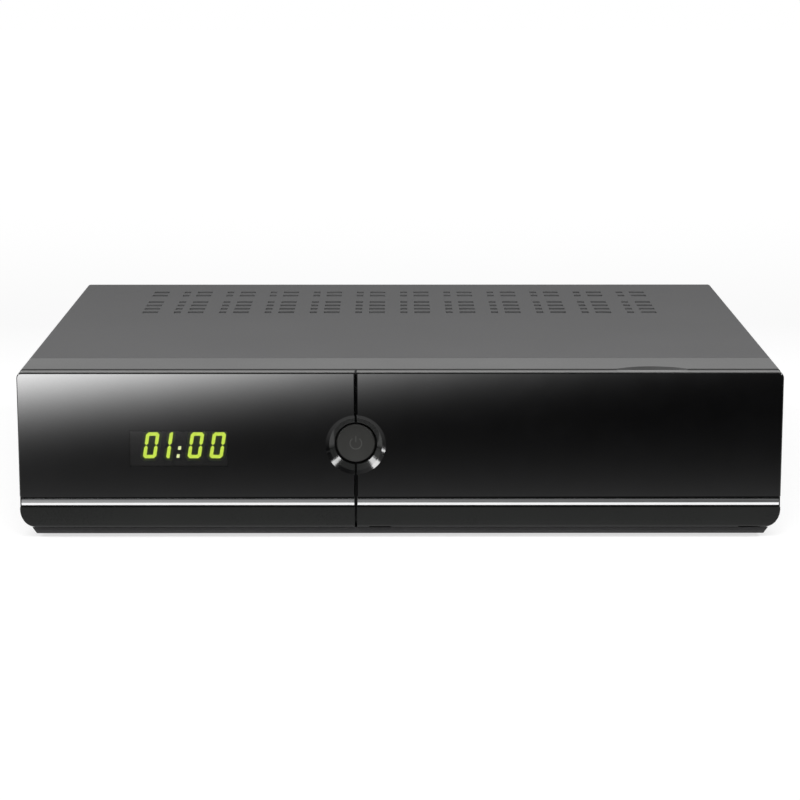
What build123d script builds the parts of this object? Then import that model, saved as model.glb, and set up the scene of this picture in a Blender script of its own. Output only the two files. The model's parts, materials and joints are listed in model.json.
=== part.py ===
from build123d import *
import os

os.makedirs("parts", exist_ok=True)

# Driving dimensions, in millimetres. X runs to the right seen from the front, Y to the back, Z up.
# The origin is on the table under the middle of the receiver.
width = 300.0  # front mouldings, side to side
body_depth = 230.0  # front face to rear wall
connector_reach = 10.0  # aerial inputs behind the rear wall
foot_height = 1.5
strip_height = 2.35  # folded lip of the pan, seen under the front
band_height = 8.7
bright_height = 3.25
panel_height = 49.75
groove = 0.4  # beside the bright strip
lip_rise = 0.2  # rail of the carrier above the gloss plate
shelf_step = 0.45  # shelf above the rail

strip_bulge = 0.4  # bright strip before the front face

front_y = -(body_depth + connector_reach - strip_bulge) / 2
rear_y = front_y + body_depth
pan_z = foot_height
strip_top = pan_z + strip_height
band_z = strip_top + 0.3
bright_z = band_z + band_height + groove
panel_z = bright_z + bright_height + groove
panel_top = panel_z + panel_height
lip_top = panel_top + lip_rise
shelf_top = lip_top + shelf_step

# Front panels: a gloss plate on a moulded carrier, parted beside the middle.
plate_thick = 1.2
rail_y = front_y + 1.5
panel_thick = 5.3
panel_back = front_y + panel_thick
split_x = -17.5
split_gap = 0.9
panel_corner = 2.0
left_end = split_x - split_gap / 2
right_start = split_x + split_gap / 2
half = width / 2
button_z = panel_z + 21.1
dish_radius = 11.85
dish_depth = 2.9
well_radius = 8.45
button_radius = 7.6
button_recess = 3.0
button_travel = 1.0
hinge_y = front_y + 3.0
hinge_z = band_z + 3.0
hinge_xs = (-8.0, 138.0)
pin_radius = 1.0
pin_length = 14.0
eye_radius = 1.8
eye_width = 6.0

# Sheet metal case and front moulding
sheet = 0.8
floor_top = pan_z + sheet
shelf_depth = 30.0
seam_y = front_y + shelf_depth
wall = 2.0
subpanel_y = front_y + 14.0
recess_left = -6.0
scoop_x = 99.0
scoop_width = 28.0
scoop_reach = 5.2
board_z = floor_top + 7.0
board_thick = 1.6
board_top = board_z + board_thick
front_board_y = front_y + 20.0
switch_y = front_board_y - 1.65  # tip of the plungers

# Sides of the polygons that stand for small rounds
few_sides = 8  # hidden stems, holes and shanks
can_sides = 12  # capacitor cans
some_sides = 16  # screw heads, pins and collars
many_sides = 24  # feet and keys


def finish(piece, name):
    """Label a finished piece and write its STEP file."""
    piece.label = name
    export_step(piece, f"parts/{name}.step")


def block(x, y, z, mode=Mode.ADD):
    """A rectangular stretch of the current part, from three (low, high) pairs."""
    with BuildSketch(Plane.XY.offset(z[0])) as outline:
        with Locations(((x[0] + x[1]) / 2, (y[0] + y[1]) / 2)):
            Rectangle(x[1] - x[0], y[1] - y[0])
    extrude(outline.sketch, amount=z[1] - z[0], mode=mode)


def facing(y, x=0.0, z=0.0):
    """The plane of a front view at depth y: sketch x is X, sketch y is Z, and it extrudes to -Y."""
    return Plane(origin=(x, y, z), x_dir=(1, 0, 0), z_dir=(0, -1, 0))


def stand(place, size, z, mode=Mode.ADD):
    """A block centred on place, with size as (width, depth) and z as a (low, high) pair."""
    x, y = place
    w, d = size
    block((x - w / 2, x + w / 2), (y - d / 2, y + d / 2), z, mode)


def rod(x, z, y, radius, mode=Mode.ADD, sides=0):
    """A stretch along Y of the current part, round or with flat sides, with y as a (front, back) pair."""
    with BuildSketch(facing(y[1])) as outline:
        with Locations((x, z)):
            if sides:
                RegularPolygon(radius, sides, major_radius=mode != Mode.SUBTRACT)
            else:
                Circle(radius)
    extrude(outline.sketch, amount=y[1] - y[0], mode=mode)


# Chassis pan: floor, short side and rear flanges and front lip, folded from one sheet.
pan_front = front_y + 3.5
pan_half = half - 5.9
lip_flare = 1.7  # the lip widens upwards
flange_half = half - 1.4
cover_screw_ys = (-55.0, 70.0)
cover_screw_z = pan_z + 7.0
rear_openings = {  # x, z, width and height of each hole in the rear wall
    "inlet": (-118.0, 22.5, 21.0, 17.0),
    "rocker": (-84.0, 22.5, 14.0, 20.0),
    "scart": (-14.5, 27.7, 49.0, 33.0),
    "phono": (27.0, 23.1, 30.0, 24.8),
    "optical": (49.5, 16.1, 10.4, 10.8),
    "hdmi": (64.5, 13.7, 16.0, 6.4),
    "network": (83.5, 17.9, 16.6, 14.4),
    "serial": (108.5, 18.1, 18.4, 9.4),
}
aerial_x = 133.0
aerial_zs = (21.5, 41.5)
aerial_radius = 4.76
with BuildPart() as chassis_pan:
    with BuildSketch(Plane.XY.offset(pan_z)):
        with BuildLine():
            Polyline(
                (-pan_half, pan_front),
                (pan_half, pan_front),
                (pan_half, front_y + 12),
                (flange_half, front_y + 26),
                (flange_half, rear_y - sheet),
                (-flange_half, rear_y - sheet),
                (-flange_half, front_y + 26),
                (-pan_half, front_y + 12),
                close=True,
            )
        make_face()
    extrude(amount=sheet)
    with BuildSketch(facing(pan_front + sheet)) as lip:
        with BuildLine():
            top_half = pan_half + lip_flare
            Polyline(
                (-pan_half, pan_z),
                (pan_half, pan_z),
                (top_half, strip_top),
                (-top_half, strip_top),
                close=True,
            )
        make_face()
    extrude(lip.sketch, amount=sheet)
    for side in (-1, 1):
        edge = sorted((side * flange_half, side * (flange_half - sheet)))
        block(edge, (front_y + 34, rear_y - sheet), (pan_z, pan_z + 12))
    block((-flange_half, flange_half), (rear_y - 2 * sheet, rear_y - sheet), (pan_z, pan_z + 7))
    for side in (-1, 1):
        with BuildSketch(Plane.YZ.offset(side * half)) as holes:
            with Locations(*[(y, cover_screw_z) for y in cover_screw_ys]):
                RegularPolygon(1.6, few_sides)
        extrude(holes.sketch, amount=-side * 4, mode=Mode.SUBTRACT)
    # Slots in the floor, under the power supply and under the main board
    for x in (-105.0, 55.0):
        with BuildSketch(Plane.XY.offset(pan_z)) as slots:
            with Locations((x, 40.0)):
                with GridLocations(12.0, 26.0, 5, 2):
                    Rectangle(3.0, 20.0)
        extrude(slots.sketch, amount=sheet, mode=Mode.SUBTRACT)
finish(chassis_pan.part, "chassis_pan")

# Rear panel: a flat sheet with a folded top edge, standing outside the rear flange of the pan.
with BuildPart() as rear_panel:
    hem = flange_half - 2
    block((-flange_half, flange_half), (rear_y - sheet, rear_y), (pan_z, shelf_top - 3 * sheet))
    block((-hem, hem), (rear_y - sheet, rear_y), (shelf_top - 3 * sheet, shelf_top - sheet - 0.05))
    block((-hem, hem), (rear_y - 9, rear_y), (shelf_top - 2 * sheet - 0.05, shelf_top - sheet - 0.05))
    with BuildSketch(facing(rear_y)) as openings:
        for x, z, w, h in rear_openings.values():
            with Locations((x, z)):
                Rectangle(w, h)
        with Locations(*[(aerial_x, z) for z in aerial_zs]):
            RegularPolygon(aerial_radius + 0.2, many_sides, major_radius=False)
    extrude(openings.sketch, amount=sheet, mode=Mode.SUBTRACT)
finish(rear_panel.part, "rear_panel")

# Top cover: one sheet folded down at both sides, with a field of ventilation slots.
# Wide and narrow slots take turns along each row, and the fifth row is left out.
cover_half = half - 0.5
cover_corner = 1.6
slot_pitch = 20.27
slot_first = -5.5 * slot_pitch
narrow_shift = 12.1
slot_length = 4.8
wide_slot = 7.0
narrow_slot = 3.1
row_pitch = 9.8
row_first = front_y + 146.5
vent_rows = [row_first + row_pitch * n for n in range(7) if n != 4]
with BuildPart() as top_cover:
    with BuildSketch(facing(rear_y + 0.2)) as section:
        with BuildLine():
            FilletPolyline(
                (-cover_half, pan_z + 1.5),
                (-cover_half, shelf_top),
                (cover_half, shelf_top),
                (cover_half, pan_z + 1.5),
                radius=cover_corner,
            )
            offset(amount=sheet, side=Side.RIGHT)
        make_face()
    extrude(section.sketch, amount=rear_y + 0.2 - seam_y)
    with BuildSketch(Plane.XY.offset(shelf_top - sheet)) as vents:
        for y in vent_rows:
            for n in range(12):
                with Locations((slot_first + slot_pitch * n, y)):
                    Rectangle(wide_slot, slot_length)
            for n in range(11):
                with Locations((slot_first + slot_pitch * n + narrow_shift, y)):
                    Rectangle(narrow_slot, slot_length)
    extrude(vents.sketch, amount=sheet, mode=Mode.SUBTRACT)
    # Side slots, the same on both sides
    with BuildSketch(Plane.YZ.offset(-half)) as side_vents:
        with Locations((30.0, 44.0)):
            with GridLocations(8.0, 22.0, 9, 1):
                Rectangle(2.8, 22.0)
    extrude(side_vents.sketch, amount=width, mode=Mode.SUBTRACT)
    for side in (-1, 1):
        with BuildSketch(Plane.YZ.offset(side * (half - 2))) as holes:
            with Locations(*[(y, cover_screw_z) for y in cover_screw_ys]):
                RegularPolygon(1.6, few_sides)
        extrude(holes.sketch, amount=side * 2, mode=Mode.SUBTRACT)
finish(top_cover.part, "top_cover")

# Front moulding, as nodes that meet face to face: cheeks, shelf, and the wall behind the window.
frame_half = cover_half
inner_half = frame_half - wall
frame_front = front_y + 5.95
frame_back = seam_y - 0.2
ceiling = shelf_top - wall
corner = 7.7
front_floor = (band_z + corner + 0.1, band_z + corner + 1.4)
bar_inset = 6.0
bar_y = (front_y + 8.0, front_y + 10.0)
bar_z = (band_z + 0.4, front_floor[0])
with BuildPart() as front_cheeks:
    with BuildSketch(facing(frame_back)) as shell:
        with Locations((0, (band_z + shelf_top) / 2)):
            Rectangle(2 * frame_half, shelf_top - band_z)
        fillet(shell.vertices().group_by(Axis.Y)[0], corner)
        offset(amount=-wall, mode=Mode.SUBTRACT)
    extrude(shell.sketch, amount=frame_back - frame_front)
    block((-half, half), (front_y, seam_y), (ceiling, shelf_top), Mode.SUBTRACT)
    block((-half + 8, half - 8), (front_y, seam_y), (0, band_z + wall), Mode.SUBTRACT)
    # Clear of the swinging flap and of the pan lip
    block((-half, half), (front_y, bar_y[0]), (0, front_floor[0]), Mode.SUBTRACT)
finish(front_cheeks.part, "front_cheeks")

# Shelf over the front, in three lengths, with a finger scoop in the edge of the middle one
scoop_radius = ((scoop_width / 2) ** 2 + scoop_reach**2) / (2 * scoop_reach)
scoop_slope = 0.6
with BuildPart() as front_shelf:
    with BuildSketch(facing(frame_back)) as slab:
        with Locations((0, (ceiling + shelf_top) / 2)):
            Rectangle(2 * frame_half, wall)
        fillet(slab.vertices().group_by(Axis.Y)[-1], cover_corner)
    extrude(slab.sketch, amount=frame_back - frame_front)
    with BuildSketch(Plane.XY.offset(ceiling)) as scoop:
        with Locations((scoop_x, frame_front + scoop_reach - scoop_radius)):
            Circle(scoop_radius - scoop_slope)
    extrude(scoop.sketch, amount=wall, taper=-17, mode=Mode.SUBTRACT)
    for x in (scoop_x - scoop_width / 2 - wall, scoop_x + scoop_width / 2 + wall):
        split(bisect_by=Plane.YZ.offset(x), keep=Keep.BOTH)
finish(front_shelf.part, "front_shelf")

# Wall behind the window, with its floor, the bar below it and the guide tube of the power button
display_x = -87.0
display_z = button_z - 1.5
receiver_x = display_x - 36.0
guide_y = (frame_front, frame_front + 9.0)
with BuildPart() as front_frame:
    wall_x = (-inner_half, recess_left - wall)
    block(wall_x, (panel_back, panel_back + wall), (front_floor[0], ceiling))
    block((split_x - 1, wall_x[1]), (panel_back, frame_front), (0.0, shelf_top), Mode.SUBTRACT)
    block(wall_x, (panel_back + wall, subpanel_y), front_floor)
    block((-inner_half + bar_inset, wall_x[1]), bar_y, bar_z)
    rod(split_x, button_z, guide_y, button_radius + 1.3, sides=many_sides)
    rod(split_x, button_z, (frame_front - 1, guide_y[1]), button_radius + 0.06, Mode.SUBTRACT)
    with BuildSketch(facing(panel_back + wall)) as windows:
        with Locations((display_x, display_z)):
            Rectangle(44.0, 18.0)
        with Locations((receiver_x, display_z)):
            RegularPolygon(3.6, some_sides)
    extrude(windows.sketch, amount=wall, mode=Mode.SUBTRACT)
finish(front_frame.part, "front_frame")

# Sub-panel: the sunk wall behind the flap, with the hinge eyes under its floor.
key_xs = (8.0, 24.0)
key_z = button_z - 2.0
key_radius = 4.0
card_x = 66.0
card_z = 28.5
usb_x = 122.0
usb_z = 29.5
with BuildPart() as sub_panel:
    recess_right = inner_half - 0.5
    block((wall_x[1], recess_left), (frame_front, subpanel_y + wall), (front_floor[0], ceiling))
    block((recess_left, recess_right), (subpanel_y, subpanel_y + wall), (front_floor[0], ceiling))
    block((wall_x[1], recess_right), (frame_front, subpanel_y + wall), front_floor)
    block((wall_x[1], inner_half - bar_inset), bar_y, bar_z)
    # Each eye stands on an arm, under the floor
    arm_y = (panel_back + 0.3, bar_y[0])
    for x in hinge_xs:
        with BuildSketch(Plane.YZ.offset(x - eye_width / 2)) as lug:
            with Locations((hinge_y, hinge_z)):
                RegularPolygon(eye_radius, some_sides)
            with Locations((hinge_y + 2.25, hinge_z)):
                Rectangle(4.5, 2.4)
            with Locations(((arm_y[0] + arm_y[1]) / 2, (hinge_z - 1.2 + front_floor[0]) / 2)):
                Rectangle(arm_y[1] - arm_y[0], front_floor[0] - hinge_z + 1.2)
            with Locations((hinge_y, hinge_z)):
                RegularPolygon(pin_radius + 0.05, few_sides, major_radius=False, mode=Mode.SUBTRACT)
        extrude(lug.sketch, amount=eye_width)
    # Openings for keys, card and plug
    with BuildSketch(facing(subpanel_y + wall)) as openings:
        with Locations(*[(x, key_z) for x in key_xs]):
            RegularPolygon(key_radius + 0.06, many_sides, major_radius=False)
        with Locations((card_x, card_z)):
            Rectangle(58.0, 2.4)
        with Locations((usb_x, usb_z)):
            Rectangle(13.6, 6.2)
    extrude(openings.sketch, amount=wall, mode=Mode.SUBTRACT)
finish(sub_panel.part, "sub_panel")


# Front panels: carrier, gloss plate and bright strip, once fixed on the left and once on the flap.
def outer_corner(shape, side, low_radius, high_radius):
    """Round the two outer corners of a front-view outline."""
    outer = shape.vertices().sort_by(Axis.X)[:2] if side < 0 else shape.vertices().sort_by(Axis.X)[-2:]
    low, high = outer.sort_by(Axis.Y)
    fillet(low, low_radius)
    outer = shape.vertices().sort_by(Axis.Y)[-2:].sort_by(Axis.X)
    fillet(outer[0] if side < 0 else outer[-1], high_radius)


def cut_dish():
    """Cut the dished surround and the round well of the power button from the current part."""
    with BuildSketch(Plane.XY.offset(button_z)) as profile:
        with BuildLine():
            Polyline(
                (split_x + dish_radius, front_y),
                (split_x + well_radius, front_y + dish_depth),
                (split_x + well_radius, panel_back + 0.5),
                (split_x, panel_back + 0.5),
                (split_x, front_y - 0.5),
                (split_x + dish_radius, front_y - 0.5),
                close=True,
            )
        make_face()
    revolve(profile.sketch, axis=Axis((split_x, 0, button_z), (0, 1, 0)), mode=Mode.SUBTRACT)


def panel_carrier(x_low, x_high, side):
    """Moulding with the lower band, the seat of plate and strip, and the top rail."""
    band_top = band_z + band_height
    seat_y = front_y + plate_thick
    with BuildPart() as carrier:
        with BuildSketch(Plane.YZ.offset(x_low)) as section:
            with BuildLine():
                Polyline(
                    (front_y, band_z),
                    (front_y, band_top),
                    (seat_y, band_top),
                    (seat_y, panel_top - 1.5),
                    (rail_y, panel_top - 1.5),
                    (rail_y, lip_top),
                    (panel_back, lip_top),
                    (panel_back, band_z),
                    close=True,
                )
            make_face()
            low = section.vertices().group_by(Axis.Y)[0].sort_by(Axis.X)
            fillet(low[0], hinge_y - front_y)
            fillet(low[1], panel_back - hinge_y)
        extrude(section.sketch, amount=x_high - x_low)
        with BuildSketch(facing(panel_back)) as outline:
            with Locations(((x_low + x_high) / 2, (band_z + lip_top) / 2)):
                Rectangle(x_high - x_low, lip_top - band_z)
            outer_corner(outline, side, corner, panel_corner)
        extrude(outline.sketch, amount=panel_thick, mode=Mode.INTERSECT)
        cut_dish()
    return carrier.part


def gloss_plate(x_low, x_high, side):
    """Gloss plate with its half of the dish."""
    with BuildPart() as plate:
        with BuildSketch(facing(front_y + plate_thick)) as outline:
            with Locations(((x_low + x_high) / 2, panel_z + panel_height / 2)):
                Rectangle(x_high - x_low, panel_height)
            outer_corner(outline, side, 0.6, panel_corner)
        extrude(outline.sketch, amount=plate_thick)
        chamfer(plate.faces().sort_by(Axis.Y)[0].edges(), 0.35)
        cut_dish()
    return plate.part


def bright_strip(x_low, x_high):
    """Strip with a convex front."""
    bright_top = bright_z + bright_height
    edge_y = front_y + 0.7
    with BuildPart() as strip:
        with BuildSketch(Plane.YZ.offset(x_low)) as section:
            with BuildLine():
                ThreePointArc(
                    (edge_y, bright_z),
                    (front_y - strip_bulge, bright_z + bright_height / 2),
                    (edge_y, bright_top),
                )
                Polyline(
                    (edge_y, bright_top),
                    (front_y + plate_thick, bright_top),
                    (front_y + plate_thick, bright_z),
                    (edge_y, bright_z),
                )
            make_face()
        extrude(section.sketch, amount=x_high - x_low)
    return strip.part


with BuildPart() as bezel_left:
    add(panel_carrier(-half, left_end, -1))
    with BuildSketch(facing(panel_back)) as aperture:
        with Locations((display_x, display_z)):
            Rectangle(40.0, 15.0)
        with Locations((receiver_x, display_z)):
            RegularPolygon(3.2, some_sides)
    extrude(aperture.sketch, amount=panel_thick, mode=Mode.SUBTRACT)
finish(bezel_left.part, "bezel_left")
finish(gloss_plate(-half, left_end, -1), "window_left")
finish(bright_strip(-half + 0.7, left_end - 0.2), "bright_strip_left")

# Flap: drops forward about two short pins held in its lower edge.
with BuildPart() as flap_door:
    add(panel_carrier(right_start, half, 1))
    for x in hinge_xs:
        gap = (x - eye_width / 2 - 1.3, x + eye_width / 2 + 1.3)
        block(gap, (front_y + 1.0, panel_back), (band_z - 1, hinge_z + 2.3), Mode.SUBTRACT)
        with BuildSketch(Plane.YZ.offset(x - pin_length / 2)) as pin_hole:
            with Locations((hinge_y, hinge_z)):
                RegularPolygon(pin_radius, few_sides, major_radius=False)
        extrude(pin_hole.sketch, amount=pin_length, mode=Mode.SUBTRACT)
    # The end with the dish is a length of its own
    split(bisect_by=Plane.YZ.offset(split_x + dish_radius + wall), keep=Keep.BOTH)
finish(flap_door.part, "flap_door")
finish(gloss_plate(right_start, half, 1), "flap_plate")
finish(bright_strip(right_start + 0.2, half - 0.7), "bright_strip_right")

with BuildPart() as hinge_pins:
    for x in hinge_xs:
        with BuildSketch(Plane.YZ.offset(x - pin_length / 2)) as pin:
            with Locations((hinge_y, hinge_z)):
                RegularPolygon(pin_radius, some_sides)
        extrude(pin.sketch, amount=pin_length)
finish(hinge_pins.part, "hinge_pins")

# Buttons: each has a cap in its guide, a wider collar behind it and a stem towards its switch.
collar_y = guide_y[1] + 0.3
key_collar_y = subpanel_y + wall + 0.3
with BuildPart() as power_button:
    rod(split_x, button_z, (front_y + button_recess, collar_y), button_radius)
    chamfer(power_button.faces().sort_by(Axis.Y)[0].edges(), 0.35)
    rod(split_x, button_z, (collar_y, collar_y + 1.2), button_radius + 1.0, sides=some_sides)
    rod(split_x, button_z, (collar_y + 1.2, switch_y - button_travel - 0.05), 1.5, sides=few_sides)
finish(power_button.part, "power_button")

for x, name in zip(key_xs, ("channel_down_key", "channel_up_key")):
    with BuildPart() as key:
        rod(x, key_z, (subpanel_y - 1.2, key_collar_y), key_radius, sides=many_sides)
        chamfer(key.faces().sort_by(Axis.Y)[0].edges(), 0.4)
        rod(x, key_z, (key_collar_y, key_collar_y + 0.8), key_radius + 1.0, sides=few_sides)
        rod(x, key_z, (key_collar_y + 0.8, key_collar_y + 1.1), 1.5, sides=few_sides)
    finish(key.part, name)


# Small trim and fasteners of the case
foot_places = [(x, y) for x in (-118.0, 118.0) for y in (front_y + 32, rear_y - 26)]
with BuildPart() as rubber_feet:
    with BuildSketch(Plane.XY.offset(pan_z)) as feet:
        with Locations(*foot_places):
            RegularPolygon(8.0, many_sides)
    extrude(feet.sketch, amount=-pan_z, taper=10)
finish(rubber_feet.part, "rubber_feet")

with BuildPart() as cover_screws:
    for side in (-1, 1):
        with BuildSketch(Plane.YZ.offset(side * cover_half)) as heads:
            with Locations(*[(y, cover_screw_z) for y in cover_screw_ys]):
                RegularPolygon(3.0, some_sides)
        extrude(heads.sketch, amount=side * 1.4)
        with BuildSketch(Plane.YZ.offset(side * cover_half)) as shanks:
            with Locations(*[(y, cover_screw_z) for y in cover_screw_ys]):
                RegularPolygon(1.5, few_sides)
        extrude(shanks.sketch, amount=-side * 5.0)
finish(cover_screws.part, "cover_screws")

# Boards on threaded standoffs
main_x = (-40.0, 144.0)
main_y = (-52.0, rear_y - 3.0)
psu_x = (-144.0, -58.0)
psu_y = (-60.0, rear_y - 3.0)
board_inset = 6.0
standoff_places = [
    (x, y)
    for span_x, span_y in ((main_x, main_y), (psu_x, psu_y))
    for x in (span_x[0] + board_inset, span_x[1] - board_inset)
    for y in (span_y[0] + board_inset, span_y[1] - 52.0)
]
with BuildPart() as standoffs:
    with BuildSketch(Plane.XY.offset(floor_top)) as hexes:
        with Locations(*standoff_places):
            RegularPolygon(2.6, 6)
    extrude(hexes.sketch, amount=board_z - floor_top)
finish(standoffs.part, "standoffs")

for name, span_x, span_y in (("main_board", main_x, main_y), ("psu_board", psu_x, psu_y)):
    with BuildPart() as board:
        block(span_x, span_y, (board_z, board_top))
        with BuildSketch(Plane.XY.offset(board_z)) as holes:
            with Locations(*standoff_places):
                RegularPolygon(1.6, few_sides)
        extrude(holes.sketch, amount=board_thick, mode=Mode.SUBTRACT)
    finish(board.part, name)

with BuildPart() as board_screws:
    with BuildSketch(Plane.XY.offset(board_top)) as heads:
        with Locations(*standoff_places):
            RegularPolygon(2.8, few_sides)
    extrude(heads.sketch, amount=1.8)
    with BuildSketch(Plane.XY.offset(board_z)) as shanks:
        with Locations(*standoff_places):
            RegularPolygon(1.5, few_sides)
    extrude(shanks.sketch, amount=board_thick)
finish(board_screws.part, "board_screws")

# Power supply. The transformer is a foot, a winding and a core round its middle.
transformer_at = (-101.0, 9.0)
with BuildPart() as transformer:
    stand(transformer_at, (34.0, 34.0), (board_top, board_top + 4))
    stand(transformer_at, (22.0, 34.0), (board_top + 4, board_top + 28))
    stand(transformer_at, (34.0, 22.0), (board_top + 8, board_top + 24))
finish(transformer.part, "transformer")

mains_can = (9.0, 31.0, [(-128.0, 34.0)])  # radius, height and places
low_voltage_cans = (5.0, 20.0, [(-74.0, 16.0), (-74.0, 2.0)])
with BuildPart() as psu_capacitors:
    for radius, height, places in (mains_can, low_voltage_cans):
        with BuildSketch(Plane.XY.offset(board_top)) as cans:
            with Locations(*places):
                RegularPolygon(radius, can_sides)
        extrude(cans.sketch, amount=height)
finish(psu_capacitors.part, "psu_capacitors")

comb_x, comb_y = -133.0, -10.0
with BuildPart() as psu_heatsink:
    with BuildSketch(Plane.XY.offset(board_top)) as comb:
        with Locations((comb_x, comb_y)):
            Rectangle(2.0, 40.0)
        with Locations((comb_x + 4.0, comb_y)):
            with GridLocations(1.0, 9.5, 1, 5):
                Rectangle(8.0, 1.6)
    extrude(comb.sketch, amount=30.0)
finish(psu_heatsink.part, "psu_heatsink")

choke_at = (-100.0, 52.0)
with BuildPart() as line_choke:
    with BuildSketch(Plane.XY.offset(board_top)) as core:
        with Locations(choke_at):
            Rectangle(24.0, 20.0)
            chamfer(core.vertices(), 4.0)
            Rectangle(10.0, 7.0, mode=Mode.SUBTRACT)
    extrude(core.sketch, amount=18.0)
finish(line_choke.part, "line_choke")

fuse_x = -73.0
fuse_y = (41.0, 61.0)
with BuildPart() as fuse_holder:
    for y in (fuse_y[0] + 1, fuse_y[1] - 1):
        stand((fuse_x, y), (8.0, 6.0), (board_top, board_top + 5.0))
    rod(fuse_x, board_top + 5.0, fuse_y, 2.6, sides=few_sides)
finish(fuse_holder.part, "fuse_holder")

# Main board
chip_x, chip_y = 40.0, 8.0
chip_top = board_top + 2.2
sink_side = 34.0
with BuildPart() as processor:
    stand((chip_x, chip_y), (28.0, 28.0), (board_top, chip_top))
finish(processor.part, "processor")

with BuildPart() as processor_heatsink:
    stand((chip_x, chip_y), (sink_side, sink_side), (chip_top, chip_top + 2.8))
    with BuildSketch(Plane.XY.offset(chip_top + 2.8)) as fins:
        with Locations((chip_x, chip_y)):
            with GridLocations(4.0, 1.0, 9, 1):
                Rectangle(1.4, sink_side)
    extrude(fins.sketch, amount=12.0)
finish(processor_heatsink.part, "processor_heatsink")

with BuildPart() as memory_chips:
    with BuildSketch(Plane.XY.offset(board_top)) as chips:
        with Locations((chip_x + 40, chip_y), (chip_x + 40, chip_y - 20), (chip_x - 36, chip_y - 4)):
            Rectangle(11.0, 14.0)
    extrude(chips.sketch, amount=1.3)
finish(memory_chips.part, "memory_chips")

can_places = [(-28.0, 8.0), (-28.0, -8.0), (4.0, -30.0), (96.0, 14.0), (96.0, -2.0), (66.0, -38.0)]
with BuildPart() as board_capacitors:
    with BuildSketch(Plane.XY.offset(board_top)) as cans:
        with Locations(*can_places):
            RegularPolygon(4.0, can_sides)
    extrude(cans.sketch, amount=12.0)
finish(board_capacitors.part, "board_capacitors")

with BuildPart() as inductors:
    with BuildSketch(Plane.XY.offset(board_top)) as coils:
        with Locations((-28.0, 30.0), (-12.0, 30.0), (110.0, -30.0)):
            RegularPolygon(5.4, few_sides)
    extrude(coils.sketch, amount=5.0)
finish(inductors.part, "inductors")

socket_y = rear_y - sheet - 0.1  # front of what stands just inside the rear panel
with BuildPart() as tuner_can:
    block((aerial_x - 10, aerial_x + 9.5), (rear_y - 46, socket_y), (board_top, board_top + 40))
finish(tuner_can.part, "tuner_can")

with BuildPart() as aerial_inputs:
    for z in aerial_zs:
        rod(aerial_x, z, (socket_y, rear_y + connector_reach), aerial_radius)
        rod(aerial_x, z, (rear_y, rear_y + 2.6), 6.4, sides=6)
        rod(aerial_x, z, (rear_y + 1.0, rear_y + connector_reach), 0.7, Mode.SUBTRACT, few_sides)
finish(aerial_inputs.part, "aerial_inputs")

# Rear sockets: each stands on its board and fills its opening, less the play round it.
play = 0.2


def socket_body(name, y):
    """The body of a rear socket over its whole opening, with y as a (front, back) pair."""
    x, z, w, h = rear_openings[name]
    block((x - w / 2 + play, x + w / 2 - play), y, (board_top, z + h / 2 - play))


with BuildPart() as mains_inlet:
    x, z, w, h = rear_openings["inlet"]
    inlet_face = rear_y + 1.5
    socket_body("inlet", (rear_y - 17, inlet_face))
    block((x - w, x + w), (rear_y - 3, inlet_face), (0.0, z - h / 2 + play), Mode.SUBTRACT)
    with BuildSketch(facing(inlet_face)) as mouth:
        with Locations((x, z)):
            SlotOverall(15.0, 8.8)
    extrude(mouth.sketch, amount=14.0, mode=Mode.SUBTRACT)
    for side in (-1, 1):
        rod(x + side * 3.4, z, (rear_y - 12.5, rear_y - 1.5), 1.15, sides=few_sides)
finish(mains_inlet.part, "mains_inlet")

with BuildPart() as scart_sockets:
    x, z = rear_openings["scart"][:2]
    block((x - 22.5, x + 22.5), (rear_y - 20, socket_y), (board_top, z + 15.5))
finish(scart_sockets.part, "scart_sockets")

scart_zs = (19.7, 35.7)
with BuildPart() as scart_shells:
    x = rear_openings["scart"][0]
    for z in scart_zs:
        with BuildSketch(facing(rear_y + 3.0)) as shell:
            with BuildLine():
                low, high = z - 5.0, z + 5.2
                Polyline((x - 23, low), (x + 19, low), (x + 23.4, high), (x - 23, high), close=True)
            make_face()
            chamfer(shell.vertices(), 0.8)
            offset(amount=-1.0, kind=Kind.INTERSECTION, mode=Mode.SUBTRACT)
        extrude(shell.sketch, amount=3.0 + sheet)
        with BuildSketch(facing(rear_y + 2.4)) as insert:
            with Locations((x - 1.0, z)):
                Rectangle(36.0, 5.6)
        extrude(insert.sketch, amount=2.4 + sheet)
finish(scart_shells.part, "scart_shells")

phono_x, phono_z = rear_openings["phono"][:2]
phono_places = [(phono_x + 9.6 * (n - 1), phono_z + 5.8 * row) for row in (-1, 1) for n in range(3)]
with BuildPart() as phono_block:
    block((phono_x - 14.6, phono_x + 14.6), (rear_y - 13, rear_y + 0.6), (board_top, phono_z + 11.6))
finish(phono_block.part, "phono_block")

with BuildPart() as phono_barrels:
    with BuildSketch(facing(rear_y + 9.0)) as barrels:
        with Locations(*phono_places):
            Circle(4.15)
            RegularPolygon(1.7, few_sides, mode=Mode.SUBTRACT)
    extrude(barrels.sketch, amount=8.4)
finish(phono_barrels.part, "phono_barrels")

with BuildPart() as optical_port:
    socket_body("optical", (rear_y - 12, rear_y + 0.8))
    with BuildSketch(facing(rear_y + 0.8)) as mouth:
        with Locations(rear_openings["optical"][:2]):
            Rectangle(6.2, 6.2)
        chamfer(mouth.vertices(), 0.8)
    extrude(mouth.sketch, amount=5.0, mode=Mode.SUBTRACT)
finish(optical_port.part, "optical_port")

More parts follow.
